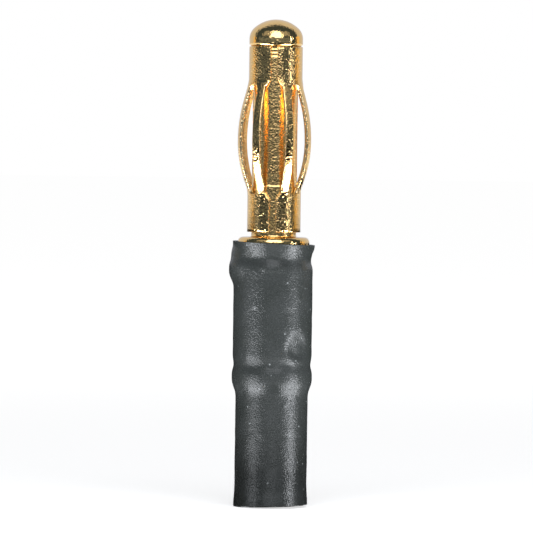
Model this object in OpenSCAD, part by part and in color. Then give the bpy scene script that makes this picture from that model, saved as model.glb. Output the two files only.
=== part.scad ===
// Bullet lead adapter: a sprung 4 mm plug on one end and a 3.5 mm socket on the other,
// soldered together and covered by a shrunk sleeve.
// Millimetres. +Z is the common axis and points out of the plug's nose. The origin is the
// centre of the sleeve's cut end, which is the face that the adapter stands on.
// -Y is the front and shows the open seam of the spring cage.

/* [Plug head] */
// Diameter of the domed head
head_d = 3.25; // [3.05:0.05:3.7]
// Height of the straight skirt under the dome
head_skirt = 0.47; // [0.3:0.01:1]
// Height of the dome over the skirt
dome_h = 1.18; // [1:0.01:1.5]
// Radius of the dome's shoulder
dome_shoulder_r = 0.9; // [0.5:0.05:0.95]

/* [Pin] */
// Diameter of the pin inside the spring cage
pin_d = 2.73; // [2.4:0.01:2.8]
// Diameter of the flange that meets the end of a mating socket
flange_d = 4.34; // [4:0.01:4.6]
// Thickness of the flange
flange_h = 0.73; // [0.5:0.01:1.2]
// Free room between the flange and the end of the cage, taken up as the leaves flatten
cage_play = 0.3; // [0.1:0.05:0.8]
// Number of fine rings turned into the pin under the head
nose_rings = 3; // [1:1:4]
// Pitch of those rings
nose_ring_pitch = 0.22; // [0.16:0.01:0.3]
// Depth of every fine turned ring
ring_depth = 0.04; // [0.02:0.01:0.06]
// Height over the flange of the single ring turned lower on the pin
lower_ring_h = 3.13; // [2:0.01:5]
// Chamfer that breaks the turned edges
edge_break = 0.05; // [0.02:0.01:0.08]

/* [Spring cage] */
// Length of the rolled cage
cage_len = 11.25; // [10.5:0.05:13]
// Thickness of its sheet
sheet_t = 0.25; // [0.18:0.01:0.28]
// Outer diameter over the leaves, relaxed
cage_d = 4.58; // [4.3:0.01:4.8]
// Length of the lower collar, up to where the leaves begin to bulge
lower_collar = 2.5; // [2.2:0.05:2.8]
// Length of the upper collar, down to where the leaves begin to bulge
upper_collar = 2.12; // [1.9:0.01:2.5]
// Height of the widest point over the lower end of the cage
bulge_at = 5.535; // [5.3:0.005:5.8]
// Slope of the leaves' straight flank under the upper collar
upper_flank = 15.85; // [14:0.01:18]
// Slope of the leaves' straight flank over the lower collar
lower_flank = 20.81; // [18:0.01:24]
// Radius that blends the leaves into the collars
bulge_blend_r = 2; // [0.5:0.1:2.5]
// Number of leaves
leaves = 8; // [6:1:9]
// Width of a leaf
leaf_w = 0.52; // [0.4:0.01:0.6]
// Angle between the middle of the seam and the leaf on each side of it
seam_leaf_angle = 27.3; // [25:0.1:30]
// Distance from the lower end of the cage to the lower end of the slots
slot_lower = 2.3; // [2.1:0.01:2.6]
// Distance from the upper end of the cage to the upper end of the slots
slot_upper = 2.3; // [2.1:0.01:2.6]
// Gap of the seam where the rolled edges face each other
seam_gap = 0.43; // [0.2:0.01:0.5]
// Distance from either end of the cage to where the seam's lips open
lip_at = 2; // [1.5:0.05:2.1]
// Angle of the opened lips to the axis
lip_angle = 36; // [25:1:50]
// Turn of the seam from the front, to the left as the front is seen
cage_turn = 3.65; // [-180:0.05:180]

/* [Solder cup] */
// Outer diameter of the cup
cup_d = 4.33; // [4.1:0.01:4.5]
// Length of the cup from its rim to the groove
cup_len = 6.15; // [5.5:0.05:8]
// Inner diameter of the cup
well_d = 3.65; // [3.5:0.01:3.8]
// Depth of the cup's straight wall
well_depth = 5.85; // [5.2:0.05:5.9]
// Width of the groove between the cup and the flange
groove_w = 1.02; // [0.6:0.02:1.3]
// Diameter of the groove's floor
groove_d = 3.9; // [3.3:0.05:4]
// Diameter of the witness hole in the side of the cup
witness_d = 1.1; // [0.8:0.05:1.2]
// Distance from the groove to the middle of the witness hole
witness_drop = 0.6; // [0.4:0.05:1]

/* [Socket] */
// Bore that takes the mating plug
bore_d = 3.5; // [3.3:0.01:3.6]
// Depth of the straight bore
bore_depth = 7.4; // [6:0.1:7.8]
// Outer diameter of the socket's barrel
barrel_d = 3.92; // [3.85:0.01:4.05]
// Length of the barrel from its mouth to its flange
barrel_len = 7.2; // [7:0.1:9]
// Diameter of the socket's flange
socket_flange_d = 4.4; // [4.35:0.01:4.55]
// Thickness of the socket's flange, which seats on the rim of the cup
socket_flange_h = 1; // [0.8:0.05:1.2]
// Diameter of the tail inside the cup
tail_d = 3.4; // [2.8:0.05:3.5]
// Length of that tail
tail_len = 4.2; // [3:0.1:5]
// Chamfer at the mouth of the bore
mouth_chamfer = 0.1; // [0.04:0.01:0.12]
// Angle of the drill points
drill_angle = 118; // [90:1:140]

/* [Solder] */
// Height of the solder's edge over the rim of the cup
solder_back = 0.35; // [0.1:0.05:1]

/* [Sleeve] */
// Wall of the shrunk sleeve
sleeve_t = 0.225; // [0.18:0.005:0.28]
// Clearance between the sleeve and the metal in it
sleeve_clear = 0.01; // [0.005:0.005:0.03]
// Length of the flange that shows over the sleeve
flange_show = 0.33; // [0.2:0.01:0.5]
// Tilt of the sleeve's upper cut, lower at the right
cut_tilt = 2.5; // [0:0.1:3]
// Flare of the sleeve's upper lip
lip_flare = 0.08; // [0:0.01:0.1]
// Depth to which the sleeve sinks into the groove
waist_depth = 0.13; // [0.02:0.01:0.18]
// Depth of the dip over the seat of the two metal parts
seat_dip = 0.03; // [0:0.005:0.04]
// Length over which the sleeve settles from the socket's flange on to the barrel
settle_len = 0.9; // [0.6:0.05:1.5]
// Length of the flared lower end
foot_len = 1.25; // [0.6:0.05:2]
// Flare of the lower end
foot_flare = 0.055; // [0:0.005:0.1]
// Length of the sleeve past the mouth of the socket
mouth_recess = 0.3; // [0.1:0.05:0.6]
// Height to which the solder lump lifts the sleeve
lump_out = 0.24; // [0.15:0.01:0.3]
// Radius of the lump's dome
lump_r = 1.6; // [1.3:0.05:1.8]
// Height of the lump's middle over the lower side of the groove
lump_at = 0.2; // [0:0.05:0.4]

/* [Hidden] */

$fn = 128;
GOLD = "goldenrod";
TIN = "silver";
BLACK = "dimgray";

// Radial clearance of the cage on the pin
cage_clear = 0.01;
// Clearance of the solder lump under the sleeve
lump_clear = 0.02;
// Chamfer on the rims that seat on each other and on the tail
rim_chamfer = 0.12;
// Overrun of cutting tools
over = 0.5;
// Steps in each eased stretch of the sleeve
ease_steps = 8;
// Facets of the long arcs in the leaves
arc_fn = 720;
// Excess of a slot's round ends over the width between the leaves
slot_end_excess = 1.05;

// Heights along the axis, from the foot up
mouth_z = mouth_recess;
socket_flange_z = mouth_z + barrel_len;
rim_z = socket_flange_z + socket_flange_h;
groove_z = rim_z + cup_len;
flange_z = groove_z + groove_w;
flange_top_z = flange_z + flange_h;
cage_z = flange_top_z + cage_play;
head_z = cage_z + cage_len;
shoulder_z = head_z + head_skirt;
nose_z = shoulder_z + dome_h;
cut_z = flange_top_z - flange_show;
lump_z = groove_z + lump_at;
bulge_z = cage_z + bulge_at;

// Radii of the cage
cage_bore_r = pin_d / 2 + cage_clear;
collar_r = cage_bore_r + sheet_t;
bulge_r = cage_d / 2;

// Outer radii of the sleeve over each metal part
sleeve_over = sleeve_clear + sleeve_t;
over_flange_r = flange_d / 2 + sleeve_over;
over_cup_r = cup_d / 2 + sleeve_over;
over_socket_r = socket_flange_d / 2 + sleeve_over;
over_barrel_r = barrel_d / 2 + sleeve_over;
lump_x = -(max(over_cup_r, over_flange_r) + lump_out - lump_r);

// ---------------------------------------------------------------- profiles: x is radius, y is height

module band(r, z0, z1) {
    translate([0, z0]) square([r, z1 - z0]);
}

// A 45 degree cut of size c across the corner at (r, z)
module corner_cut(r, z, c) {
    translate([r, z]) rotate(45) square(c * sqrt(2), center = true);
}

module dome_section() {
    a = head_d / 2;
    b = a - dome_shoulder_r;
    h = dome_h - dome_shoulder_r;
    crown_r = (b * b + dome_h * dome_h - dome_shoulder_r * dome_shoulder_r) / (2 * h);
    crown_z = nose_z - crown_r;
    wide = 2;
    intersection() {
        translate([0, crown_z]) circle(crown_r);
        polygon([
            [0, crown_z],
            [wide * b, crown_z + wide * (shoulder_z - crown_z)],
            [0, crown_z + wide * crown_r]
        ]);
    }
    intersection() {
        translate([b, shoulder_z]) circle(dome_shoulder_r);
        band(a + over, shoulder_z, nose_z);
    }
}

module pin_section() {
    difference() {
        union() {
            dome_section();
            band(head_d / 2, head_z, shoulder_z);
            band(pin_d / 2, flange_z, head_z + head_skirt / 2);
            band(flange_d / 2, flange_z, flange_top_z);
            band(groove_d / 2, groove_z - over, flange_z + flange_h / 2);
            band(cup_d / 2, rim_z, groove_z);
        }
        corner_cut(head_d / 2, head_z, edge_break);
        corner_cut(flange_d / 2, flange_top_z, edge_break);
        corner_cut(flange_d / 2, flange_z, edge_break);
        corner_cut(cup_d / 2, groove_z, edge_break);
        corner_cut(cup_d / 2, rim_z, rim_chamfer);
        for (i = [0 : nose_rings - 1])
            corner_cut(pin_d / 2, head_z - (i + 0.5) * nose_ring_pitch, ring_depth);
        corner_cut(pin_d / 2, flange_top_z + lower_ring_h, ring_depth);
    }
}

// Radius of the arc that meets a straight flank of this slope, for a bulge of this rise and run
function bulge_arc_r(rise, run, angle) = (run * tan(angle) - rise) / (1 / cos(angle) - 1);

// The upper half of a bulge, from its widest point up, inset by t from its outer face
module bulge_half(angle, run, t) {
    arc_r = bulge_arc_r(bulge_r - collar_r, run, angle);
    centre_x = bulge_r - arc_r;
    tangent = [centre_x + (arc_r - t) * cos(angle), (arc_r - t) * sin(angle)];
    corner = [collar_r - t, tangent.y + (tangent.x - collar_r + t) / tan(angle)];
    blend = [collar_r + bulge_blend_r, run + bulge_blend_r * tan(angle / 2)];
    reach = bulge_blend_r + t;
    blend_start = blend - reach * [cos(angle), sin(angle)];
    intersection() {
        translate([centre_x, 0]) circle(arc_r - t, $fn = arc_fn);
        square([bulge_r + over, tangent.y]);
    }
    polygon([[0, 0], tangent, corner, [0, corner.y]]);
    difference() {
        polygon([[0, blend_start.y], blend_start, [collar_r - t, blend.y], [0, blend.y]]);
        translate(blend) circle(reach, $fn = arc_fn);
    }
}

// Everything inside the cage's outer face, inset by t and longer by end at both ends
module cage_fill(t, end) {
    band(collar_r - t, cage_z - end, head_z + end);
    translate([0, bulge_z]) {
        bulge_half(upper_flank, cage_len - bulge_at - upper_collar, t);
        mirror([0, 1]) bulge_half(lower_flank, bulge_at - lower_collar, t);
    }
}

// Sleeve: height and outer radius at each station, from the foot to the upper lip
stations = [
    [0, over_barrel_r + foot_flare],
    [foot_len, over_barrel_r],
    [socket_flange_z - settle_len, over_barrel_r],
    [socket_flange_z, over_socket_r],
    [rim_z - rim_chamfer, over_socket_r],
    [rim_z, over_cup_r - seat_dip],
    [rim_z + rim_chamfer, over_cup_r],
    [groove_z, over_cup_r],
    [groove_z + groove_w / 2, over_cup_r - waist_depth],
    [flange_z, over_flange_r],
    [cut_z - over / 4, over_flange_r],
    [cut_z + over, over_flange_r + 2 * lip_flare]
];

// Points between two stations, on a smooth step
function eased(a, b) = [
    for (i = [0 : ease_steps - 1])
        let (u = i / ease_steps)
        [a[1] + (b[1] - a[1]) * (1 - cos(180 * u)) / 2, a[0] + (b[0] - a[0]) * u]
];

sleeve_edge = [
    for (i = [0 : len(stations) - 2])
        each (stations[i][1] == stations[i + 1][1]
            ? [[stations[i][1], stations[i][0]]]
            : eased(stations[i], stations[i + 1])),
    [stations[len(stations) - 1][1], stations[len(stations) - 1][0]]
];

// Everything inside the sleeve's outer face, inset by t
module sleeve_fill(t) {
    polygon([
        [0, 0],
        for (p = sleeve_edge) [p.x - t, p.y],
        [0, cut_z + over]
    ]);
}

// ---------------------------------------------------------------- cutting tools

// A drilled hole from z0 up, with its pointed end
module drilled(d, z0, depth) {
    translate([0, 0, z0]) cylinder(d = d, h = depth);
    translate([0, 0, z0 + depth])
        cylinder(d1 = d, d2 = 0, h = d / 2 / tan(drill_angle / 2));
}

// The witness hole, from the axis out to the left
module witness() {
    translate([0, 0, groove_z - witness_drop]) rotate([0, -90, 0])
        cylinder(d = witness_d, h = cup_d / 2 + over);
}

// The space between two leaves that stand half_angle to each side of +X
module between_leaves(half_angle) {
    apex = leaf_w / 2 / sin(half_angle);
    reach = bulge_r + over;
    spread = (reach - apex) * tan(half_angle);
    translate([0, 0, cage_z]) linear_extrude(cage_len)
        polygon([[apex, 0], [reach, -spread], [reach, spread]]);
}

// Everything in front of a flat outline, whose x is across and y is along the axis
module outline_cut() {
    rotate([90, 0, 90]) linear_extrude(bulge_r + over) children();
}

// A slot with round ends. It is as wide as the space between two leaves.
module slot(half_angle) {
    end_r = (collar_r * sin(half_angle) - leaf_w / 2) * slot_end_excess;
    z0 = cage_z + slot_lower + end_r;
    z1 = head_z - slot_upper - end_r;
    wide = bulge_r * sin(half_angle);
    intersection() {
        between_leaves(half_angle);
        outline_cut() {
            for (z = [z0, z1]) translate([0, z]) circle(end_r);
            polygon([
                [-end_r, z0], [end_r, z0], [wide, z0 + wide], [wide, z1 - wide],
                [end_r, z1], [-end_r, z1], [-wide, z1 - wide], [-wide, z0 + wide]
            ]);
        }
    }
}

// The seam: a narrow gap that opens through slanted lips to the leaves beside it
module seam() {
    wide = bulge_r;
    tip = seam_gap / 2 / tan(lip_angle);
    slant = wide / tan(lip_angle);
    z0 = cage_z + lip_at - tip;
    z1 = head_z - lip_at + tip;
    translate([0, -seam_gap / 2, cage_z - over])
        cube([bulge_r + over, seam_gap, cage_len + 2 * over]);
    intersection() {
        between_leaves(seam_leaf_angle);
        outline_cut() polygon([
            [0, z0], [wide, z0 + slant], [wide, z1 - slant],
            [0, z1], [-wide, z1 - slant], [-wide, z0 + slant]
        ]);
    }
}

// ---------------------------------------------------------------- pieces

// Turned brass: nose, pin, flange and solder cup in one piece
module pin_core() {
    color(GOLD) difference() {
        rotate_extrude() pin_section();
        translate([0, 0, -over]) drilled(well_d, rim_z, well_depth + over);
        witness();
    }
}

// Rolled and slotted spring sheet that snaps over the pin
module spring_cage() {
    pitch = (360 - 2 * seam_leaf_angle) / (leaves - 1);
    color(GOLD) rotate(-90 - cage_turn) difference() {
        rotate_extrude() difference() {
            cage_fill(0, 0);
            cage_fill(sheet_t, over);
            corner_cut(collar_r, cage_z, edge_break);
            corner_cut(collar_r, head_z, edge_break);
        }
        seam();
        for (i = [0 : leaves - 2])
            rotate(seam_leaf_angle + (i + 0.5) * pitch) slot(pitch / 2);
    }
}

// Turned brass: bored barrel, flange and the tail that goes into the cup
module socket() {
    color(GOLD) difference() {
        rotate_extrude() difference() {
            union() {
                band(barrel_d / 2, mouth_z, socket_flange_z + socket_flange_h / 2);
                band(socket_flange_d / 2, socket_flange_z, rim_z);
                band(tail_d / 2, socket_flange_z, rim_z + tail_len);
            }
            corner_cut(barrel_d / 2, mouth_z, edge_break);
            corner_cut(socket_flange_d / 2, socket_flange_z, edge_break);
            corner_cut(socket_flange_d / 2, rim_z, rim_chamfer);
            corner_cut(tail_d / 2, rim_z + tail_len, rim_chamfer);
        }
        translate([0, 0, -over]) drilled(bore_d, mouth_z, bore_depth + over);
        translate([0, 0, mouth_z])
            cylinder(r1 = bore_d / 2 + mouth_chamfer, r2 = bore_d / 2, h = mouth_chamfer);
    }
}

// Solder that fills the cup round the tail, with a lump that rose out of the witness hole
module solder_joint() {
    color(TIN) difference() {
        union() {
            drilled(well_d, rim_z + solder_back, well_depth - solder_back);
            translate([lump_x, 0, lump_z]) sphere(lump_r - sleeve_t - lump_clear);
            witness_plug();
        }
        pin_core();
        socket();
    }
}

// Solder in the witness hole, flush with the cup
module witness_plug() {
    intersection() {
        witness();
        translate([0, 0, rim_z]) cylinder(d = cup_d, h = cup_len);
    }
}

// Shrunk sleeve over both solder ends, lifted by the lump
module heat_shrink() {
    color(BLACK) difference() {
        union() {
            rotate_extrude() sleeve_fill(0);
            translate([lump_x, 0, lump_z]) sphere(lump_r);
        }
        difference() {
            rotate_extrude() sleeve_fill(sleeve_t);
            translate([0, 0, -over]) cylinder(d = cup_d, h = over / 2);
        }
        translate([lump_x, 0, lump_z]) sphere(lump_r - sleeve_t);
        translate([0, 0, cut_z]) rotate([0, cut_tilt, 0])
            translate([0, 0, cup_d]) cube(2 * cup_d, center = true);
    }
}

pin_core();
spring_cage();
socket();
solder_joint();
heat_shrink();
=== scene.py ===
"""Looks of a bullet lead adapter: a gold plated pin in a sprung cage over a shrunk black sleeve.

Metres, +Z up, the common axis on Z. -Y is the front, which shows the open seam of the cage.
The pieces' sizes are in millimetres and are multiplied by MM where a mesh is made. The stage's
lengths are in metres. A turn is an angle round the axis from +X, and an azimuth is in degrees
from the front towards the right.
"""
import math

import bpy
from mathutils import Euler, Matrix, Vector, noise


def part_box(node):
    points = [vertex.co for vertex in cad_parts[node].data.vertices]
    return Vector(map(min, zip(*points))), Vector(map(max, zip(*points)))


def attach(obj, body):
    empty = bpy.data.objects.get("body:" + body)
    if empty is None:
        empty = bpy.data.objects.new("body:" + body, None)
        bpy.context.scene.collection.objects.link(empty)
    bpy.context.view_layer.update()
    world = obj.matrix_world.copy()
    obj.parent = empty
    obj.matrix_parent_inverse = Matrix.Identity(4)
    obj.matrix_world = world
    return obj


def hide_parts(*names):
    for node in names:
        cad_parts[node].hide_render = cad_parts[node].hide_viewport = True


MM = 0.001
TURN = 2 * math.pi

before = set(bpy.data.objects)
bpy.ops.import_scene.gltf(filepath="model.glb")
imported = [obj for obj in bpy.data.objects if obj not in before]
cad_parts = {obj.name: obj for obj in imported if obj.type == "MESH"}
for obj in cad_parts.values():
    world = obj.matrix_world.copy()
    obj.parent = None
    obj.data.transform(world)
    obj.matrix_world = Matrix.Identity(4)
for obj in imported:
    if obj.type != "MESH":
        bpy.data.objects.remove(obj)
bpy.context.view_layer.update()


def low_end(name):
    """Height of the lower end of a node of the frame, in millimetres."""
    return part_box(name)[0].z / MM


def high_end(name):
    """Height of the upper end of a node of the frame, in millimetres."""
    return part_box(name)[1].z / MM


# Heights along the axis
CAGE_PLAY = 0.3
FLANGE_H = 0.73
GROOVE_W = 1.02
SOCKET_FLANGE_H = 1.0
NOSE = high_end("pin_core")
CAGE_HIGH = high_end("spring_cage")
CAGE_LOW = low_end("spring_cage")
FLANGE_TOP = CAGE_LOW - CAGE_PLAY
FLANGE_LOW = FLANGE_TOP - FLANGE_H
GROOVE_LOW = FLANGE_LOW - GROOVE_W
TAIL_END = high_end("socket")
CUP_RIM = low_end("pin_core")
SOCKET_SEAT = CUP_RIM - SOCKET_FLANGE_H
MOUTH = low_end("socket")

# Pin
HEAD_R = 1.625
HEAD_SKIRT = 0.47
SHOULDER_R = 0.9
PIN_R = 1.365
FLANGE_R = 2.17
GROOVE_R = 1.95
CUP_R = 2.165
WELL_R = 1.825
WELL_DEPTH = 5.85
WITNESS_R = 0.55
WITNESS_DROP = 0.6
WITNESS_OVERRUN = 1.0
DRILL_ANGLE = 118
DRILL_SLOPE = math.tan(math.radians(DRILL_ANGLE / 2))
NOSE_RINGS = 3
NOSE_RING_PITCH = 0.22
LOWER_RING = 3.13
# (half width, depth) of the turned rings
NOSE_RING_CUT = (0.085, 0.034)
LOWER_RING_CUT = (0.05, 0.02)
EDGE_ROUND = 0.06
HEAD_ROUND = 0.2
FLANGE_ROUND = 0.3
NECK_FILLET = 0.12
RIM_CHAMFER = 0.12

# Spring cage
COLLAR_R = 1.625
SHEET = 0.25
UPPER_COLLAR = 2.12
LOWER_COLLAR = 2.5
BULGE_R = 2.29
BULGE_OVER_END = 5.535
BULGE_AT = CAGE_LOW + BULGE_OVER_END
UPPER_FLANK = math.radians(15.85)
LOWER_FLANK = math.radians(20.81)
UPPER_RUN = CAGE_HIGH - BULGE_AT - UPPER_COLLAR
LOWER_RUN = BULGE_AT - CAGE_LOW - LOWER_COLLAR
BLEND_R = 2.0
LEAVES = 8
LEAF_W = 0.52
SEAM_LEAF = math.radians(27.3)
SLOT_END = 2.3
SLOT_END_EXCESS = 1.05
SEAM_GAP = 0.43
LIP_AT = 2.0
LIP_SLOPE = math.tan(math.radians(36))
SEAM_TURN = 3.65
CAGE_TURN = math.radians(-90 - SEAM_TURN)
CUT_ROUND = 0.045

# Socket
BORE_R = 1.75
BORE_DEPTH = 7.4
BARREL_R = 1.96
SOCKET_FLANGE_R = 2.2
TAIL_R = 1.7
MOUTH_CHAMFER = 0.1
MOUTH_ROUND = 0.04

# Sleeve, from its foot to its lip
SLEEVE_T = 0.225
OVER = 0.235
FOOT_LEN = 1.25
FOOT_FLARE = 0.055
FOOT_CUT = 0.15
FOOT_CUT_TURN = math.radians(-20)
SETTLE_LEN = 0.9
SEAT_RISE = 0.2
SEAT_TO_RIM = 0.3
SEAT_DIP = 0.075
DIP_OVER_RIM = 0.1
CUP_OVER_RIM = 0.7
WAIST_DEPTH = 0.13
FLANGE_SHOW = 0.33
CUT_AT = FLANGE_TOP - FLANGE_SHOW
CUT_TILT = math.tan(math.radians(2.5))
CUT_SPARE = 0.1
SLEEVE_CUT_ROUND = 0.05
LIP_LEN = 0.5
LIP_FLARE = 0.08
# Height of a step of the mean that softens the outline, and its steps to each side
SOFT_STEP = 0.09
SOFT_REACH = 2

# Fineness of the meshes
SPIN_STEPS = 128
CROWN_STEPS = 10
SHOULDER_STEPS = 14
ROUND_STEPS = 6
EDGE_SEGMENTS = 2
HOLE_SIDES = 48
GUARD = 0.02
MERGE_GAP = 0.0005
# Angles between faces in degrees: shaded smooth below the first two, rounded over the last
SMOOTH = 35
CAGE_SMOOTH = 40
SHARP = 50


# ---------------------------------------------------------------- modelling helpers

def nothing_selected():
    """Leaves edit mode and deselects every object."""
    if bpy.context.object and bpy.context.object.mode != "OBJECT":
        bpy.ops.object.mode_set(mode="OBJECT")
    bpy.ops.object.select_all(action="DESELECT")


def finish_mesh(name, smooth_angle=SMOOTH):
    """Leaves edit mode with closed, outward facing, smooth faces."""
    bpy.ops.mesh.select_all(action="SELECT")
    bpy.ops.mesh.remove_doubles(threshold=MERGE_GAP * MM)
    bpy.ops.mesh.normals_make_consistent(inside=False)
    bpy.ops.object.mode_set(mode="OBJECT")
    piece = bpy.context.object
    piece.name = name
    piece.data.name = name
    bpy.ops.object.shade_smooth_by_angle(angle=math.radians(smooth_angle))
    return piece


def apply_modifier(piece, kind, **settings):
    """Adds a modifier, sets it up and applies it."""
    bpy.context.view_layer.objects.active = piece
    modifier = piece.modifiers.new(kind.title(), kind)
    for key, value in settings.items():
        setattr(modifier, key, value)
    bpy.ops.object.modifier_apply(modifier=modifier.name)


def round_edges(piece, width):
    """Rounds the sharp edges of a piece by a width in millimetres."""
    apply_modifier(piece, "BEVEL", width=width * MM, segments=EDGE_SEGMENTS,
                   limit_method="ANGLE", angle_limit=math.radians(SHARP))


def arc(centre, radius, start, end, steps):
    """Points (r, z) on an arc, both ends included; angles in degrees from +r towards +z."""
    turns = [math.radians(start + (end - start) * i / steps) for i in range(steps + 1)]
    return [(centre[0] + radius * math.cos(t), centre[1] + radius * math.sin(t)) for t in turns]


def rounded(corners):
    """Points (r, z) along a line of corners (r, z) or (r, z, radius), with round corners.

    A guard beside each end of an arc keeps the smooth shading of the arc off its neighbours.
    """
    points = []
    for i, corner in enumerate(corners):
        here = Vector(corner[:2])
        radius = corner[2] if len(corner) > 2 else 0
        if not radius or i in (0, len(corners) - 1):
            points.append(tuple(here))
            continue
        back = (Vector(corners[i - 1][:2]) - here).normalized()
        on = (Vector(corners[i + 1][:2]) - here).normalized()
        half = back.angle(on) / 2
        run = radius / math.tan(half)
        middle = here + (back + on).normalized() * radius / math.sin(half)
        first = here + back * run - middle
        last = here + on * run - middle
        sweep = first.angle_signed(last)
        points.append(tuple(here + back * (run + GUARD)))
        for k in range(ROUND_STEPS + 1):
            turned_by = Matrix.Rotation(-sweep * k / ROUND_STEPS, 2)
            points.append(tuple(middle + turned_by @ first))
        points.append(tuple(here + on * (run + GUARD)))
    return points


def spin_profile(name, points, steps=SPIN_STEPS):
    """A solid of revolution from a line of (r, z) that starts and ends on the axis or on itself."""
    nothing_selected()
    bpy.ops.mesh.primitive_plane_add(size=MM)
    bpy.ops.object.mode_set(mode="EDIT")
    bpy.ops.mesh.select_mode(type="VERT")
    bpy.ops.mesh.select_all(action="SELECT")
    bpy.ops.mesh.merge(type="CENTER")
    at = Vector((0, 0))
    for i, point in enumerate(points):
        step = (Vector(point) - at) * MM
        move = {"value": (step.x, 0, step.y)}
        if i:
            bpy.ops.mesh.extrude_region_move(TRANSFORM_OT_translate=move)
        else:
            bpy.ops.transform.translate(**move)
        at = Vector(point)
    bpy.ops.mesh.select_all(action="SELECT")
    bpy.ops.mesh.spin(steps=steps, angle=TURN, center=(0, 0, 0), axis=(0, 0, 1))
    return finish_mesh(name)


def drill(piece, radius, start, end):
    """Cuts a round hole from start to end, both in millimetres."""
    way = Vector(end) - Vector(start)
    nothing_selected()
    bpy.ops.mesh.primitive_cylinder_add(
        vertices=HOLE_SIDES, radius=radius * MM, depth=way.length * MM,
        location=(Vector(start) + Vector(end)) / 2 * MM,
        rotation=way.to_track_quat("Z", "Y").to_euler())
    tool = bpy.context.object
    apply_modifier(piece, "BOOLEAN", object=tool, operation="DIFFERENCE", solver="EXACT")
    bpy.data.objects.remove(tool)


def give_finishes(piece, *finishes):
    """Gives a piece its materials, in the order of its faces' material numbers."""
    for finish in finishes:
        piece.data.materials.append(finish)


# ---------------------------------------------------------------- pin

def dome_points():
    """The nose from its tip to the skirt: a flat crown that runs into a round shoulder."""
    rise = NOSE - CAGE_HIGH - HEAD_SKIRT
    inset = HEAD_R - SHOULDER_R
    crown_r = (inset ** 2 + rise ** 2 - SHOULDER_R ** 2) / (2 * (rise - SHOULDER_R))
    shoulder = (inset, NOSE - rise)
    join = math.degrees(math.atan2(shoulder[1] - NOSE + crown_r, inset))
    crown = arc((0, NOSE - crown_r), crown_r, 90, join, CROWN_STEPS)
    return crown[:-1] + arc(shoulder, SHOULDER_R, join, 0, SHOULDER_STEPS)


def ring_points(z, cut):
    """A fine turned ring in the pin: a shallow V round height z."""
    half, depth = cut
    return [(PIN_R, z + half + GUARD), (PIN_R, z + half), (PIN_R - depth, z),
            (PIN_R, z - half), (PIN_R, z - half - GUARD)]


def turned_pin():
    """Head, pin, flange, groove and solder cup in one, satin where the cage hides the pin."""
    rings = []
    for i in range(NOSE_RINGS):
        rings += ring_points(CAGE_HIGH - (i + 0.5) * NOSE_RING_PITCH, NOSE_RING_CUT)
    rings += ring_points(FLANGE_TOP + LOWER_RING, LOWER_RING_CUT)
    well_end = CUP_RIM + WELL_DEPTH
    body = [
        (HEAD_R, CAGE_HIGH, HEAD_ROUND), (PIN_R, CAGE_HIGH), *rings,
        (PIN_R, FLANGE_TOP, NECK_FILLET), (FLANGE_R, FLANGE_TOP, FLANGE_ROUND),
        (FLANGE_R, FLANGE_LOW, EDGE_ROUND), (GROOVE_R, FLANGE_LOW), (GROOVE_R, GROOVE_LOW),
        (CUP_R, GROOVE_LOW, EDGE_ROUND), (CUP_R, CUP_RIM + RIM_CHAMFER),
        (CUP_R - RIM_CHAMFER, CUP_RIM), (WELL_R, CUP_RIM), (WELL_R, well_end),
        (0, well_end + WELL_R / DRILL_SLOPE)]
    dome = dome_points()
    pin = spin_profile("turned_pin", dome[:-1] + rounded([dome[-1]] + body))
    give_finishes(pin, GOLD_TURNED, GOLD_SATIN)
    for face in pin.data.polygons:
        r = math.hypot(face.center.x, face.center.y) / MM
        z = face.center.z / MM
        face.material_index = int(r < PIN_R and CAGE_LOW < z < CAGE_HIGH)
    witness = GROOVE_LOW - WITNESS_DROP
    drill(pin, WITNESS_R, (0, 0, witness), (-CUP_R - WITNESS_OVERRUN, 0, witness))
    return pin


# ---------------------------------------------------------------- socket

def bored_socket():
    """Bored barrel, flange and tail in one."""
    deep = MOUTH + BORE_DEPTH
    socket = spin_profile("bored_socket", rounded([
        (0, deep + BORE_R / DRILL_SLOPE), (BORE_R, deep), (BORE_R, MOUTH + MOUTH_CHAMFER),
        (BORE_R + MOUTH_CHAMFER, MOUTH), (BARREL_R, MOUTH, MOUTH_ROUND), (BARREL_R, SOCKET_SEAT),
        (SOCKET_FLANGE_R, SOCKET_SEAT, EDGE_ROUND), (SOCKET_FLANGE_R, CUP_RIM - RIM_CHAMFER),
        (SOCKET_FLANGE_R - RIM_CHAMFER, CUP_RIM), (TAIL_R, CUP_RIM),
        (TAIL_R, TAIL_END - RIM_CHAMFER), (TAIL_R - RIM_CHAMFER, TAIL_END), (0, TAIL_END)]))
    give_finishes(socket, GOLD_BORE)
    return socket


# ---------------------------------------------------------------- spring cage

# Lines across a leaf, a slot and a seam lip, and rows along a collar and the leaves
ACROSS_LEAF = 8
ACROSS_SLOT = 14
ACROSS_LIP = 5
COLLAR_ROWS = 12
LEAF_ROWS = 110
ROWS = 2 * COLLAR_ROWS + LEAF_ROWS

SLOT_PITCH = (TURN - 2 * SEAM_LEAF) / (LEAVES - 1)
SLOT_HALF = COLLAR_R * math.sin(SLOT_PITCH / 2) - LEAF_W / 2
SLOT_ROUND = SLOT_HALF * SLOT_END_EXCESS


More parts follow.
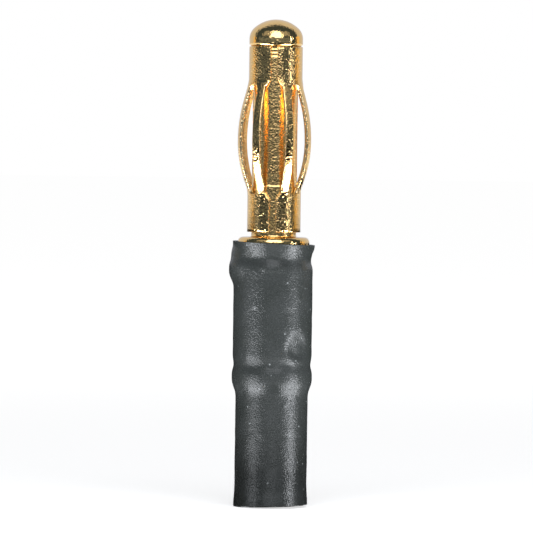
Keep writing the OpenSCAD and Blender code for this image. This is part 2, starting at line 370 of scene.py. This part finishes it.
def bulge_radius(z):
    """Outer radius of the cage at height z: arc, straight flank, blend and collar."""
    upper = z > BULGE_AT
    slope, run = (UPPER_FLANK, UPPER_RUN) if upper else (LOWER_FLANK, LOWER_RUN)
    rise = BULGE_R - COLLAR_R
    off = abs(z - BULGE_AT)
    arc_r = (run * math.tan(slope) - rise) / (1 / math.cos(slope) - 1)
    blend_end = run + BLEND_R * math.tan(slope / 2)
    if off <= arc_r * math.sin(slope):
        return BULGE_R - arc_r + math.sqrt(arc_r ** 2 - off ** 2)
    if off >= blend_end:
        return COLLAR_R
    if off >= blend_end - BLEND_R * math.sin(slope):
        return COLLAR_R + BLEND_R - math.sqrt(BLEND_R ** 2 - (blend_end - off) ** 2)
    return COLLAR_R + (run - off) * math.tan(slope)


def slot_end_height(x):
    """Height of a slot's round end over the end of the cage, x from the slot's middle."""
    return SLOT_END + SLOT_ROUND - math.sqrt(SLOT_ROUND ** 2 - x ** 2)


def slot_turn(x):
    """Angle from a slot's middle at which its edge stands in the collar, x from its middle."""
    half = SLOT_PITCH / 2 - math.asin(LEAF_W / 2 / COLLAR_R)
    return half * x / SLOT_HALF


def lip_height(x):
    """Height of the seam's slanted lip over the end of the cage, x from the seam's middle."""
    return LIP_AT + (x - SEAM_GAP / 2) / LIP_SLOPE


def cage_columns():
    """Lines along the sheet, from one lip of the seam round to the other.

    Each is (part, angle of the part's middle, x across from there, height at which the collar
    ends on this line).
    """
    near = COLLAR_R * math.sin(SEAM_LEAF - math.asin(LEAF_W / 2 / COLLAR_R))
    lip = []
    for i in range(ACROSS_LIP):
        x = SEAM_GAP / 2 + (near - SEAM_GAP / 2) * i / ACROSS_LIP
        lip.append(("lip", 0, x, lip_height(x)))
    slot_sides = [slot_end_height(SLOT_HALF)] * (2 * LEAVES - 2)
    ends = [lip_height(near)] + slot_sides + [lip_height(near)]
    columns = list(lip)
    for leaf in range(LEAVES):
        angle = SEAM_LEAF + leaf * SLOT_PITCH
        low, high = ends[2 * leaf:2 * leaf + 2]
        for i in range(ACROSS_LEAF + 1):
            share = i / ACROSS_LEAF
            columns.append(("leaf", angle, LEAF_W * (share - 0.5), low + (high - low) * share))
        if leaf < LEAVES - 1:
            for i in range(1, ACROSS_SLOT):
                x = -SLOT_HALF * math.cos(math.pi * i / ACROSS_SLOT)
                columns.append(("slot", angle + SLOT_PITCH / 2, x, slot_end_height(x)))
    return columns + [(part, angle, -x, end) for part, angle, x, end in reversed(lip)]


def in_leaf(columns, i):
    """Whether the strip between columns i and i + 1 belongs to a leaf."""
    (part, angle), (next_part, next_angle) = columns[i][:2], columns[i + 1][:2]
    return part == next_part == "leaf" and angle == next_angle


def grid_place(vertex, columns):
    """Column and row of a vertex of the flat grid, which is 2 wide and 2 tall."""
    return (round((vertex.co.x + 1) / 2 * (len(columns) - 1)),
            round((vertex.co.y + 1) / 2 * ROWS))


def slotted_grid(columns):
    """A flat grid with a line of vertices for each column, and with its slots cut out."""
    nothing_selected()
    bpy.ops.mesh.primitive_grid_add(x_subdivisions=len(columns) - 1, y_subdivisions=ROWS, size=2)
    sheet = bpy.context.object
    bpy.ops.object.mode_set(mode="EDIT")
    bpy.ops.mesh.select_mode(type="FACE")
    bpy.ops.mesh.select_all(action="DESELECT")
    bpy.ops.object.mode_set(mode="OBJECT")
    for face in sheet.data.polygons:
        i, j = min(grid_place(sheet.data.vertices[v], columns) for v in face.vertices)
        between = COLLAR_ROWS <= j < COLLAR_ROWS + LEAF_ROWS
        face.select = between and not in_leaf(columns, i)
    bpy.ops.object.mode_set(mode="EDIT")
    bpy.ops.mesh.delete(type="FACE")
    bpy.ops.object.mode_set(mode="OBJECT")
    return sheet


def row_height(j, end):
    """Height of row j over the end of the cage, on a line where the collar ends at end."""
    length = CAGE_HIGH - CAGE_LOW
    if j < COLLAR_ROWS:
        return end * j / COLLAR_ROWS
    if j > COLLAR_ROWS + LEAF_ROWS:
        return length - end * (ROWS - j) / COLLAR_ROWS
    return end + (length - 2 * end) * (j - COLLAR_ROWS) / LEAF_ROWS


def turn_outwards(piece):
    """Turns the faces of an open shell round the axis outwards."""
    face = piece.data.polygons[0]
    if face.normal.dot(Vector((face.center.x, face.center.y, 0))) < 0:
        bpy.ops.object.mode_set(mode="EDIT")
        bpy.ops.mesh.select_all(action="SELECT")
        bpy.ops.mesh.flip_normals()
        bpy.ops.object.mode_set(mode="OBJECT")


def rolled_cage():
    """A slotted sheet, rolled and bulged, then given its thickness and round edges."""
    columns = cage_columns()
    sheet = slotted_grid(columns)
    for v in sheet.data.vertices:
        i, j = grid_place(v, columns)
        part, angle, x, end = columns[i]
        z = CAGE_LOW + row_height(j, end)
        r = bulge_radius(z)
        aside = slot_turn(x) if part == "slot" else math.asin(x / r)
        turn = CAGE_TURN + angle + aside
        v.co = Vector((r * math.cos(turn), r * math.sin(turn), z)) * MM
    bpy.ops.object.mode_set(mode="EDIT")
    cage = finish_mesh("rolled_cage", CAGE_SMOOTH)
    turn_outwards(cage)
    # The rims of the sheet, its cut edges, get the paler gold of painted highlight
    give_finishes(cage, GOLD_SHEET, CUT_EDGE_PAINTED_HIGHLIGHT)
    apply_modifier(cage, "SOLIDIFY", thickness=SHEET * MM, offset=-1, use_even_offset=True,
                   material_offset_rim=1)
    round_edges(cage, CUT_ROUND)
    return cage


# ---------------------------------------------------------------- sleeve

SLEEVE_ROW = 0.11
SLEEVE_STEPS = 176
INNER_EVERY = 4

# Share of a local form's reach over which its top is flat
FORM_FLAT = 0.28
# (degrees from +X, height, half width along the wall, reach up, reach down, how far out)
SLEEVE_FORMS = (
    (180, 14.68, 2.1, 1.5, 1.35, 0.285),    # solder lump
    (-46, 9.6, 1.25, 1.35, 0.8, -0.17),     # dent on the right of the front, steep below
    (0, 15.95, 1.4, 0.35, 0.35, 0.05),      # curled corner of the lip
    (-90, 14.75, 1.0, 0.5, 0.5, 0.05),      # flat over the groove at the front
    (150, 11.0, 1.6, 1.4, 1.4, -0.02),      # shallow waves
    (30, 12.5, 1.5, 1.6, 1.6, 0.02),
    (95, 10.5, 2.0, 1.2, 1.2, -0.03),
)
# (height, number in a millimetre) of the unevenness all over
SLEEVE_WAVES = ((0.012, 0.9), (0.006, 2.3))


def eased(a, b, u):
    """A smooth step from a at u = 0 to b at u = 1, level beyond both."""
    return a + (b - a) * (1 - math.cos(math.pi * min(1, max(0, u)))) / 2


def sleeve_radius(z):
    """Radius over the parts inside, where the sleeve lies close."""
    barrel = BARREL_R + OVER
    seat = SOCKET_FLANGE_R + OVER
    cup = CUP_R + OVER
    flange = FLANGE_R + OVER
    settled = SOCKET_SEAT + SEAT_RISE
    stations = [
        (0, barrel + FOOT_FLARE), (FOOT_LEN, barrel), (settled - SETTLE_LEN, barrel),
        (settled, seat), (CUP_RIM - SEAT_TO_RIM, seat), (CUP_RIM + DIP_OVER_RIM, cup - SEAT_DIP),
        (CUP_RIM + CUP_OVER_RIM, cup), (GROOVE_LOW, cup),
        (GROOVE_LOW + GROOVE_W / 2, cup - WAIST_DEPTH), (CUT_AT + LIP_LEN, flange + 2 * LIP_FLARE)]
    for (z0, r0), (z1, r1) in zip(stations[:-1], stations[1:-1]):
        if z <= z1:
            return eased(r0, r1, (z - z0) / (z1 - z0))
    (z0, r0), (z1, r1) = stations[-2:]
    return r0 + (r1 - r0) * (z - z0) / (z1 - z0)


def soft_radius(z):
    """Outer radius of the sleeve at height z before lumps and creases: no sharp turns."""
    steps = range(-SOFT_REACH, SOFT_REACH + 1)
    return sum(sleeve_radius(z + SOFT_STEP * i) for i in steps) / len(steps)


def hump(distance):
    """A smooth hump of height 1, flat near its middle, that ends at distance 1."""
    return 1 - eased(0, 1, (distance - FORM_FLAT) / (1 - FORM_FLAT))


def angle_gap(a, b):
    """The angle from b to a, from minus half a turn to half a turn."""
    return (a - b + math.pi) % TURN - math.pi


def sleeve_bump(turn, z, r):
    """How far the wall stands out of round at an angle and height."""
    out = 0
    for degrees, at, half_w, up, down, depth in SLEEVE_FORMS:
        across = angle_gap(turn, math.radians(degrees)) * r / half_w
        along = (z - at) / (up if z > at else down)
        out += depth * hump(math.hypot(across, along))
    place = Vector((math.cos(turn) * r, math.sin(turn) * r, z))
    return out + sum(size * noise.noise(place * pitch) for size, pitch in SLEEVE_WAVES)


def foot_rise(turn):
    """How far the slanted cut of the foot lies over the table at an angle."""
    return FOOT_CUT * (1 + math.cos(turn - FOOT_CUT_TURN)) / 2


def shrunk_sleeve():
    """A tube that lies close on the parts inside, uneven, and cut aslant at both ends."""
    top = CUT_AT + CUT_SPARE
    rows = round(top / SLEEVE_ROW)
    heights = [top * i / rows for i in range(rows + 1)]
    outer = [(soft_radius(z), z) for z in heights]
    inner = [(sleeve_radius(z) - SLEEVE_T, z) for z in heights[::INNER_EVERY]]
    sleeve = spin_profile("shrunk_sleeve", outer + inner[::-1] + outer[:1], SLEEVE_STEPS)
    for v in sleeve.data.vertices:
        z = v.co.z / MM
        r = math.hypot(v.co.x, v.co.y) / MM
        turn = math.atan2(v.co.y, v.co.x)
        out = sleeve_bump(turn, z, r)
        inside = r < sleeve_radius(z) - SLEEVE_T / 2
        grown = r + (max(0, out) if inside else out)
        cut = CUT_AT - math.cos(turn) * grown * CUT_TILT
        lift = (eased(0, cut - top, (z - CUP_RIM) / (top - CUP_RIM))
                + foot_rise(turn) * max(0, 1 - z / FOOT_LEN))
        v.co = Vector((grown * math.cos(turn), grown * math.sin(turn), z + lift)) * MM
    round_edges(sleeve, SLEEVE_CUT_ROUND)
    # The foot's cut gets the black with pale flecks of painted glints
    give_finishes(sleeve, PLASTIC, RAGGED_PAINTED_GLINTS)
    for face in sleeve.data.polygons:
        cut = foot_rise(math.atan2(face.center.y, face.center.x)) + SLEEVE_CUT_ROUND
        face.material_index = int(face.center.z / MM < cut)
    return sleeve


# ---------------------------------------------------------------- materials

# Each noise is (number in a millimetre, detail), each depth is in millimetres, and each tint is
# a row of stops (value of the noise, colour)
GOLD = (0.93, 0.63, 0.26)
# A paler gold for the sheet's cut edges: painted highlight that makes the edge lines read brighter
PAINTED_HIGHLIGHT_GOLD = (1.0, 0.79, 0.47)
GOLD_SHADE = 0.94
GOLD_SHADE_AT = 0.35
GOLD_PALE_AT = 0.65
GOLD_PATCHES = (1.2, 3)
GOLD_GLOSS = (6, 2)
GLOSS_SHARES = (0.7, 1.3)
# The finer grain over the peel, as shares of its number and its depth
FINE_PEEL = 2.3
FINE_PEEL_DEPTH = 0.3

PLASTIC_TINT = ((0.3, (0.0218, 0.0246, 0.0228)), (0.7, (0.0292, 0.032, 0.031)))
PLASTIC_PATCHES = (0.8, 4)
PLASTIC_GLOSS = (1.5, 3)
PLASTIC_ROUGHNESS = (0.23, 0.33)
PLASTIC_SPECULAR = 0.34
PEBBLES = (13, 0)
PEBBLE_DEPTH = 0.016
SHALLOWS = (1.4, 1)
SHALLOW_DEPTH = 0.025
DUST = (0.16, 0.17, 0.17)
DUST_PER_METRE = 1500.0
DUST_STOPS = ((0.06, (1, 1, 1)), (0.1, (0, 0, 0)))

# The cut's black, and pale flecks that are painted glints on the cut's burrs; the same noise also
# tears the cut's face
TORN_BLACK_AND_PAINTED_GLINTS = ((0.54, (0.03, 0.033, 0.031)), (0.6, (0.55, 0.56, 0.55)))
TEAR_AND_GLINT_NOISE = (5, 1)
TEAR_DEPTH = 0.05
TORN_ROUGHNESS = 0.5

SOLDER_TINT = ((0.3, (0.5, 0.51, 0.52)), (0.7, (0.68, 0.69, 0.7)))
FROST = (3, 4)
FROST_DEPTH = 0.02
SOLDER_ROUGHNESS = 0.45


def material(name):
    """A new material with its nodes, links and shader."""
    made = bpy.data.materials.new(name)
    made.use_nodes = True
    return made, made.node_tree.nodes, made.node_tree.links, made.node_tree.nodes["Principled BSDF"]


def node(nodes, kind, **values):
    """A new node with the given sockets or settings."""
    made = nodes.new(kind)
    for key, value in values.items():
        if key in made.inputs:
            made.inputs[key].default_value = value
        else:
            setattr(made, key, value)
    return made


def grain(nodes, links, place, scale, detail):
    """A noise of the given scale per millimetre, in the piece's own place."""
    mapping = node(nodes, "ShaderNodeMapping", Scale=(1 / MM, 1 / MM, 1 / MM))
    links.new(place.outputs["Object"], mapping.inputs["Vector"])
    made = node(nodes, "ShaderNodeTexNoise", Scale=scale, Detail=detail)
    links.new(mapping.outputs["Vector"], made.inputs["Vector"])
    return made


def ramp(nodes, links, source, stops):
    """Colours by the source, from stops (value, colour)."""
    made = nodes.new("ShaderNodeValToRGB")
    while len(made.color_ramp.elements) < len(stops):
        made.color_ramp.elements.new(0.5)
    for element, (position, colour) in zip(made.color_ramp.elements, stops):
        element.position = position
        element.color = (*colour, 1)
    links.new(source, made.inputs["Fac"])
    return made


def uneven_gloss(nodes, links, shader, source, low, high):
    """Roughness from low to high, by the source."""
    spread = node(nodes, "ShaderNodeMapRange", **{"To Min": low, "To Max": high})
    links.new(source.outputs["Fac"], spread.inputs["Value"])
    links.new(spread.outputs["Result"], shader.inputs["Roughness"])


def uneven_skin(nodes, links, shader, *layers):
    """Bumps from layers (source, height in millimetres), each over the one before."""
    below = None
    for source, depth in layers:
        bump = node(nodes, "ShaderNodeBump", Distance=depth * MM)
        links.new(source.outputs["Fac"], bump.inputs["Height"])
        if below:
            links.new(below.outputs["Normal"], bump.inputs["Normal"])
        below = bump
    links.new(below.outputs["Normal"], shader.inputs["Normal"])


def gold(name, roughness, peel, peel_scale, pale=GOLD):
    """Gold plate: deep and pale patches, uneven gloss and an orange-peel grain.

    peel is the grain's depth in millimetres, and peel_scale its number in a millimetre.
    """
    made, nodes, links, shader = material(name)
    place = nodes.new("ShaderNodeTexCoord")
    shader.inputs["Metallic"].default_value = 1
    patches = grain(nodes, links, place, *GOLD_PATCHES)
    deep = [GOLD_SHADE * c for c in pale]
    stops = ((GOLD_SHADE_AT, deep), (GOLD_PALE_AT, pale))
    tint = ramp(nodes, links, patches.outputs["Fac"], stops)
    links.new(tint.outputs["Color"], shader.inputs["Base Color"])
    gloss = grain(nodes, links, place, *GOLD_GLOSS)
    uneven_gloss(nodes, links, shader, gloss, *[roughness * share for share in GLOSS_SHARES])
    skin = grain(nodes, links, place, peel_scale, 0)
    fine = grain(nodes, links, place, peel_scale * FINE_PEEL, 0)
    uneven_skin(nodes, links, shader, (skin, peel), (fine, peel * FINE_PEEL_DEPTH))
    return made


def shrunk_plastic():
    """Black sleeve plastic, a little worn, with specks of dust and a fine pebbled skin."""
    made, nodes, links, shader = material("shrunk_plastic")
    place = nodes.new("ShaderNodeTexCoord")
    patches = grain(nodes, links, place, *PLASTIC_PATCHES)
    tint = ramp(nodes, links, patches.outputs["Fac"], PLASTIC_TINT)
    dust = node(nodes, "ShaderNodeTexVoronoi", Scale=DUST_PER_METRE)
    links.new(place.outputs["Object"], dust.inputs["Vector"])
    specks = ramp(nodes, links, dust.outputs["Distance"], DUST_STOPS)
    mix = node(nodes, "ShaderNodeMix", data_type="RGBA")
    share, clean, dusty = mix.inputs[0], mix.inputs[6], mix.inputs[7]
    links.new(specks.outputs["Color"], share)
    links.new(tint.outputs["Color"], clean)
    dusty.default_value = (*DUST, 1)
    links.new(mix.outputs[2], shader.inputs["Base Color"])
    gloss = grain(nodes, links, place, *PLASTIC_GLOSS)
    uneven_gloss(nodes, links, shader, gloss, *PLASTIC_ROUGHNESS)
    shader.inputs["Specular IOR Level"].default_value = PLASTIC_SPECULAR
    pebbles = grain(nodes, links, place, *PEBBLES)
    shallows = grain(nodes, links, place, *SHALLOWS)
    uneven_skin(nodes, links, shader, (pebbles, PEBBLE_DEPTH), (shallows, SHALLOW_DEPTH))
    return made


def ragged_plastic_painted_glints():
    """The knife's cut across the sleeve: the same black, torn, with pale flecks that are painted
    glints on its burrs.
    """
    made, nodes, links, shader = material("ragged_plastic_painted_glints")
    place = nodes.new("ShaderNodeTexCoord")
    tear_and_glint_noise = grain(nodes, links, place, *TEAR_AND_GLINT_NOISE)
    tint = ramp(nodes, links, tear_and_glint_noise.outputs["Fac"], TORN_BLACK_AND_PAINTED_GLINTS)
    links.new(tint.outputs["Color"], shader.inputs["Base Color"])
    shader.inputs["Roughness"].default_value = TORN_ROUGHNESS
    uneven_skin(nodes, links, shader, (tear_and_glint_noise, TEAR_DEPTH))
    return made


def dull_solder():
    """Solder with a frosted skin."""
    made, nodes, links, shader = material("dull_solder")
    place = nodes.new("ShaderNodeTexCoord")
    shader.inputs["Metallic"].default_value = 1
    frost = grain(nodes, links, place, *FROST)
    tint = ramp(nodes, links, frost.outputs["Fac"], SOLDER_TINT)
    links.new(tint.outputs["Color"], shader.inputs["Base Color"])
    shader.inputs["Roughness"].default_value = SOLDER_ROUGHNESS
    uneven_skin(nodes, links, shader, (frost, FROST_DEPTH))
    return made


GOLD_TURNED = gold("gold_turned", roughness=0.07, peel=0.01, peel_scale=9)
GOLD_SATIN = gold("gold_satin", roughness=0.2, peel=0.013, peel_scale=10)
GOLD_BORE = gold("gold_bore", roughness=0.2, peel=0.008, peel_scale=8)
GOLD_SHEET = gold("gold_sheet", roughness=0.055, peel=0.019, peel_scale=10)
# Cut edges: rougher, with a paler gold that is painted highlight on the edge lines
CUT_EDGE_PAINTED_HIGHLIGHT = gold("cut_edge_painted_highlight", roughness=0.2, peel=0.03, peel_scale=7, pale=PAINTED_HIGHLIGHT_GOLD)
PLASTIC = shrunk_plastic()
RAGGED_PAINTED_GLINTS = ragged_plastic_painted_glints()
SOLDER = dull_solder()


# ---------------------------------------------------------------- stage

WHITE = (1, 1, 1, 1)
DARK = (0.05, 0.072, 0.1)
BLACK = (0.008, 0.009, 0.01)
PAPER = (0.68, 0.69, 0.74)
DIM = (0.19, 0.23, 0.28)
COOL = (0.93, 0.955, 1.0)
AMBIENT = 0.1
MIDDLE = (0, 0, 0.018)

FLOOR_SIZE = 4
FLOOR_COLOUR = (0.9, 0.9, 0.9, 1)
# (distance from the object, glow) where the lamps light the floor most, and where they don't reach
FLOOR_NEAR = (0.02, 0.62)
FLOOR_FAR = (0.2, 0.9)

TENT_R = 0.28
TENT_SIDES = 64
TENT_RINGS = 32
# How much further the dark front reaches at the top
TENT_RISE = 0.18
# (how far to the front, colour), from -1 at the back to 1 at the front
TENT_STOPS = ((-1, PAPER), (-0.22, PAPER), (-0.14, DARK), (1, DARK))

# (name, colour, azimuth, elevation, distance, size) of the cards
CARDS = (
    ("warm_card", (1.0, 0.7, 0.3), 108, 2, 0.15, (0.05, 0.07)),
    ("warm_card", (0.95, 0.64, 0.25), -107, 2, 0.15, (0.026, 0.07)),
    ("sky_card", (0.38, 0.39, 0.41), -46, 40, 0.19, (0.1, 0.11)),
    ("sky_card", (0.38, 0.39, 0.41), 47, 40, 0.19, (0.1, 0.11)),
)

FLAG_LIFT = 0.00003
FRONT_FLAG_SIZE = 0.5
FRONT_FLAG_AT = -0.2655
FRONT_FLAG_TURN = math.radians(10)
FOOT_FLAG_R = 0.02
FOOT_FLAG_SIDES = 48
WALL_STEPS = 32
# (name, colour, radius, low, high, start and end in degrees from +X) of the upright round walls
WALLS = (
    ("low_flag", BLACK, 0.022, 0, 0.0158, -5, 185),
    ("front_wall", DIM, 0.2, 0.017, 0.048, -170, -28),
)

# (name, azimuth, elevation, distance, size, radiance) of the two large lamps
LARGE_LAMPS = (
    ("key_right", 68, 8.5, 0.2, (0.007, 0.055), 20.0),
    ("top_front", 2, 37, 0.2, (0.19, 0.18), 3.0),
)
# (azimuth, near end, far end, width, radiance) of the strips of light on the table
TABLE_GLOW = (
    (-52, 0.0085, 0.014, 0.01, 15.0),
    (-52, 0.0142, 0.034, 0.02, 4.0),
    (-57, 0.0342, 0.0445, 0.03, 37.0),
    (59, 0.0085, 0.014, 0.01, 16.0),
    (59, 0.0142, 0.034, 0.021, 7.2),
    (60, 0.0342, 0.042, 0.028, 24.0),
)
TABLE_GLOW_LIFT = 0.001
TABLE_GLOW_SPREAD = math.radians(165)
# (azimuth, distance, low end, size, radiance) of the low upright lamps round the sleeve
SIDE_GLOW = (
    (-55, 0.03, 0, (0.012, 0.005), 6.5),
    (63, 0.03, 0, (0.009, 0.005), 25.0),
    (63, 0.03, 0.01, (0.006, 0.004), 3.0),
    (2, 0.022, 0, (0.018, 0.0035), 2.0),
    (2, 0.04, 0, (0.03, 0.003), 1.6),
)

SENSOR_WIDTH = 36
CAMERA_ANGLE = math.radians(5.6)
CAMERA_DISTANCE = 0.331
CAMERA_TARGET = Vector((-0.41, 0, 14.6)) * MM
CAMERA_LIFT = math.radians(1.5)
CAMERA_ROLL = math.radians(0.76)
CAMERA_CLIP = (0.01, 20)


def aim(obj, target):
    """Turns a camera, lamp or card so that it looks at target."""
    obj.rotation_euler = (Vector(target) - obj.location).to_track_quat("-Z", "Y").to_euler()


def around(azimuth, elevation, distance, centre=MIDDLE):
    """A place at a distance from centre, both angles in degrees."""
    a, e = math.radians(azimuth), math.radians(elevation)
    way = Vector((math.sin(a) * math.cos(e), -math.cos(a) * math.cos(e), math.sin(e)))
    return Vector(centre) + way * distance


def light_path_mask(nodes, links):
    """1 for what the camera, a gloss or a glass sees, and 0 for what lights the object."""
    path = nodes.new("ShaderNodeLightPath")
    first = node(nodes, "ShaderNodeMath", operation="MAXIMUM")
    links.new(path.outputs["Is Camera Ray"], first.inputs[0])
    links.new(path.outputs["Is Glossy Ray"], first.inputs[1])
    second = node(nodes, "ShaderNodeMath", operation="MAXIMUM")
    links.new(first.outputs[0], second.inputs[0])
    links.new(path.outputs["Is Transmission Ray"], second.inputs[1])
    return second.outputs[0]


def white_world():
    """White to look at, and a soft grey as light."""
    world = bpy.data.worlds.new("studio")
    bpy.context.scene.world = world
    world.use_nodes = True
    nodes, links = world.node_tree.nodes, world.node_tree.links
    background = nodes["Background"]
    background.inputs["Color"].default_value = WHITE
    strength = node(nodes, "ShaderNodeMapRange", **{"To Min": AMBIENT})
    links.new(light_path_mask(nodes, links), strength.inputs["Value"])
    links.new(strength.outputs["Result"], background.inputs["Strength"])


def floor():
    """White where the object doesn't shade it."""
    nothing_selected()
    bpy.ops.mesh.primitive_plane_add(size=FLOOR_SIZE)
    ground = bpy.context.object
    ground.name = "floor"
    made, nodes, links, shader = material("floor_white")
    shader.inputs["Base Color"].default_value = FLOOR_COLOUR
    shader.inputs["Roughness"].default_value = 1.0
    shader.inputs["Specular IOR Level"].default_value = 0.0
    shader.inputs["Emission Color"].default_value = WHITE
    place = nodes.new("ShaderNodeTexCoord")
    away = node(nodes, "ShaderNodeVectorMath", operation="LENGTH")
    links.new(place.outputs["Object"], away.inputs[0])
    (near, near_glow), (far, far_glow) = FLOOR_NEAR, FLOOR_FAR
    level = node(nodes, "ShaderNodeMapRange", **{
        "From Min": near, "To Min": near_glow, "From Max": far, "To Max": far_glow})
    links.new(away.outputs["Value"], level.inputs["Value"])
    glow = node(nodes, "ShaderNodeMapRange")
    links.new(level.outputs["Result"], glow.inputs["To Max"])
    links.new(light_path_mask(nodes, links), glow.inputs["Value"])
    links.new(glow.outputs["Result"], shader.inputs["Emission Strength"])
    ground.data.materials.append(made)


def glowing(name):
    """A new material that only glows, with its nodes, links and emission."""
    made = bpy.data.materials.new(name)
    made.use_nodes = True
    nodes, links = made.node_tree.nodes, made.node_tree.links
    nodes.clear()
    glow = nodes.new("ShaderNodeEmission")
    out = nodes.new("ShaderNodeOutputMaterial")
    links.new(glow.outputs[0], out.inputs[0])
    return made, nodes, links, glow


def hang(piece, name, finish):
    """Names a piece of the stage that only the gloss sees, and gives it its finish."""
    piece.name = name
    piece.data.materials.append(finish)
    piece.visible_camera = False
    piece.visible_diffuse = False
    piece.visible_shadow = False
    piece.visible_transmission = False


def hang_plain(piece, name, colour):
    """Hangs a piece of one colour."""
    finish, _, _, glow = glowing(name)
    glow.inputs["Color"].default_value = (*colour, 1)
    hang(piece, name, finish)


def tent():
    """What the metal mirrors: pale paper behind, and dark in front up to past the zenith."""
    nothing_selected()
    bpy.ops.mesh.primitive_uv_sphere_add(segments=TENT_SIDES, ring_count=TENT_RINGS,
                                         radius=TENT_R)
    wall = bpy.context.object
    finish, nodes, links, glow = glowing("tent")
    place = nodes.new("ShaderNodeTexCoord")
    front = node(nodes, "ShaderNodeVectorMath", operation="DOT_PRODUCT")
    links.new(place.outputs["Object"], front.inputs[0])
    front.inputs[1].default_value = (0, -1 / TENT_R, TENT_RISE / TENT_R)
    share = node(nodes, "ShaderNodeMapRange", **{"From Min": -1})
    links.new(front.outputs["Value"], share.inputs["Value"])
    stops = [((forward + 1) / 2, colour) for forward, colour in TENT_STOPS]
    colours = ramp(nodes, links, share.outputs[0], stops)
    links.new(colours.outputs["Color"], glow.inputs["Color"])
    hang(wall, "tent", finish)


def cards():
    """Pale cards at both sides, warm ones low down and grey ones above."""
    for name, colour, azimuth, elevation, distance, size in CARDS:
        nothing_selected()
        bpy.ops.mesh.primitive_plane_add(size=1)
        card = bpy.context.object
        card.scale = (*size, 1)
        card.location = around(azimuth, elevation, distance)
        aim(card, MIDDLE)
        hang_plain(card, name, colour)


def flags():
    """Black on the table in front, under the object and low round its back; a dim wall in front."""
    nothing_selected()
    bpy.ops.mesh.primitive_plane_add(size=FRONT_FLAG_SIZE, location=(0, FRONT_FLAG_AT, FLAG_LIFT),
                                     rotation=(0, 0, FRONT_FLAG_TURN))
    hang_plain(bpy.context.object, "front_flag", BLACK)
    nothing_selected()
    bpy.ops.mesh.primitive_circle_add(vertices=FOOT_FLAG_SIDES, radius=FOOT_FLAG_R,
                                      fill_type="NGON", location=(0, 0, FLAG_LIFT))
    hang_plain(bpy.context.object, "foot_flag", BLACK)
    for name, colour, radius, low, high, start, end in WALLS:
        nothing_selected()
        bpy.ops.mesh.primitive_grid_add(x_subdivisions=WALL_STEPS, y_subdivisions=1, size=1)
        wall = bpy.context.object
        for v in wall.data.vertices:
            turn = math.radians(start + (v.co.x + 0.5) * (end - start))
            z = low + (v.co.y + 0.5) * (high - low)
            v.co = (radius * math.cos(turn), radius * math.sin(turn), z)
        hang_plain(wall, name, colour)


def camera():
    """In front and a little above, nearly level with the middle of the object."""
    data = bpy.data.cameras.new("camera")
    data.sensor_width = SENSOR_WIDTH
    data.angle = CAMERA_ANGLE
    data.clip_start, data.clip_end = CAMERA_CLIP
    cam = bpy.data.objects.new("camera", data)
    bpy.context.scene.collection.objects.link(cam)
    way = Vector((0, -math.cos(CAMERA_LIFT), math.sin(CAMERA_LIFT)))
    cam.location = CAMERA_TARGET + way * CAMERA_DISTANCE
    aim(cam, CAMERA_TARGET)
    roll = Matrix.Rotation(CAMERA_ROLL, 4, "Z")
    cam.rotation_euler = (cam.rotation_euler.to_matrix().to_4x4() @ roll).to_euler()
    bpy.context.scene.camera = cam


def panel(name, location, size, radiance):
    """A soft rectangular lamp; radiance is its brightness, where 1 is white."""
    data = bpy.data.lights.new(name, "AREA")
    data.shape = "RECTANGLE"
    data.size, data.size_y = size
    data.energy = radiance * math.pi * size[0] * size[1]
    data.color = COOL
    lamp = bpy.data.objects.new(name, data)
    lamp.location = location
    lamp.visible_camera = False
    bpy.context.scene.collection.objects.link(lamp)
    return lamp


def lamps():
    """A narrow key, a soft lamp over the front, and small lamps low round the sleeve."""
    for name, azimuth, elevation, distance, size, radiance in LARGE_LAMPS:
        aim(panel(name, around(azimuth, elevation, distance), size, radiance), MIDDLE)
    for azimuth, near, far, width, radiance in TABLE_GLOW:
        on_table = (0, 0, TABLE_GLOW_LIFT)
        location = around(azimuth, 0, (near + far) / 2, on_table)
        lamp = panel("table_glow", location, (width, far - near), radiance)
        lamp.rotation_euler = Euler((math.pi, 0, math.radians(azimuth)))
        lamp.data.spread = TABLE_GLOW_SPREAD
    for azimuth, distance, low, size, radiance in SIDE_GLOW:
        middle = (0, 0, low + size[1] / 2)
        aim(panel("side_glow", around(azimuth, 0, distance, middle), size, radiance), middle)


# ---------------------------------------------------------------- putting it together

def dress(piece, node_name):
    """Lets a modelled piece stand for a node of the frame."""
    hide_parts(node_name)
    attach(piece, "root")


def corners(box):
    """The two corners of a box as plain lists."""
    return [list(map(float, corner)) for corner in box]


camera()
white_world()
floor()
tent()
cards()
flags()
lamps()

dress(turned_pin(), "pin_core")
dress(rolled_cage(), "spring_cage")
dress(bored_socket(), "socket")
dress(shrunk_sleeve(), "heat_shrink")
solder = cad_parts["solder_joint"]
solder.data.materials.clear()
solder.data.materials.append(SOLDER)

bpy.context.scene.view_settings.view_transform = "Standard"
